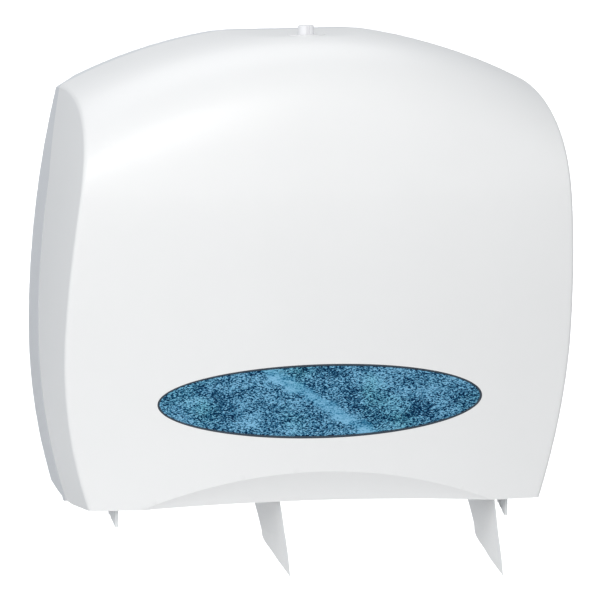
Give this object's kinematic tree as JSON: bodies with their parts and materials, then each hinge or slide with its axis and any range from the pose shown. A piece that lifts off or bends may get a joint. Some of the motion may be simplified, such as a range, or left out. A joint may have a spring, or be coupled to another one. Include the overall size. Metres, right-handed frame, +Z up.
{
  "type": "jumbo toilet roll dispenser",
  "caption": "Wall dispenser for a large toilet roll and a stub roll, under a crowned cover with a granite window, a top push-button latch and an arched outlet.",
  "frame": {"origin": "on the wall plane, in the middle of the four wall screws", "axes": "+X to the right seen from the front, +Y into the wall, +Z up"},
  "size_m": [0.406, 0.146, 0.4199],
  "materials": {
    "cover_white": "fine satin moulding, slightly glossy",
    "base_white": "finely textured moulding",
    "button_white": "smooth",
    "granite_blue": "smooth, with a dark and pale blue granite speckle",
    "seal": "matt",
    "inner_plastic": "moulded",
    "dark_plastic": "moulded",
    "hub_blue": "moulded",
    "steel": "zinc plated",
    "plated_steel": "plated sheet",
    "tissue": "soft embossed tissue",
    "core_board": "spiral wound board"
  },
  "bodies": {
    "base": {"back_plate": "base_white", "latch_bracket": "base_white", "latch_tongue": "inner_plastic", "latch_screws": "steel", "hinge_pin_left": "steel", "hinge_pin_right": "steel", "main_spindle": "inner_plastic", "stub_spindle": "inner_plastic", "spindle_screws": "steel", "main_retainer": "dark_plastic", "stub_retainer": "dark_plastic", "retainer_screws": "steel", "tear_bar_left": "base_white", "tear_bar_middle": "base_white", "tear_bar_right": "base_white", "tear_bar_screws": "steel", "main_tail": "tissue", "stub_tail": "tissue"},
    "cover": {"cover_shell": "cover_white", "window_lens": "granite_blue", "window_gasket": "seal", "window_clips": "inner_plastic", "hinge_arm_left": "inner_plastic", "hinge_arm_right": "inner_plastic", "hinge_arm_screws": "steel", "button_collar": "cover_white", "button_bracket": "plated_steel", "catch_plate": "plated_steel", "bracket_screws": "steel", "button_spring": "steel"},
    "push_button": {"button": "button_white", "button_clip": "dark_plastic"},
    "large_roll": {"main_hub": "hub_blue", "main_core": "core_board", "main_roll": "tissue"},
    "small_roll": {"stub_hub": "hub_blue", "stub_core": "core_board", "stub_roll": "tissue"}
  },
  "joints": [
    {"name": "cover_hinge", "type": "hinge", "parent": "base", "child": "cover", "pos_m": [0, -0.018, -0.175], "axis": [1, 0, 0], "range_deg": [0, 90], "deforming": ["latch_tongue", "main_tail", "stub_tail"]},
    {"name": "button_press", "type": "slide", "parent": "cover", "child": "push_button", "axis": [0, 0, -1], "range_m": [0, 0.004], "stiffness_N_per_m": 300, "springref_m": -0.002, "deforming": ["button_spring", "latch_tongue"]},
    {"name": "large_roll_spin", "type": "hinge", "parent": "base", "child": "large_roll", "pos_m": [-0.078, -0.05, -0.03], "axis": [0, 1, 0], "continuous": true},
    {"name": "small_roll_spin", "type": "hinge", "parent": "base", "child": "small_roll", "pos_m": [0.09, -0.05, 0.01002], "axis": [0, 1, 0], "continuous": true}
  ]
}
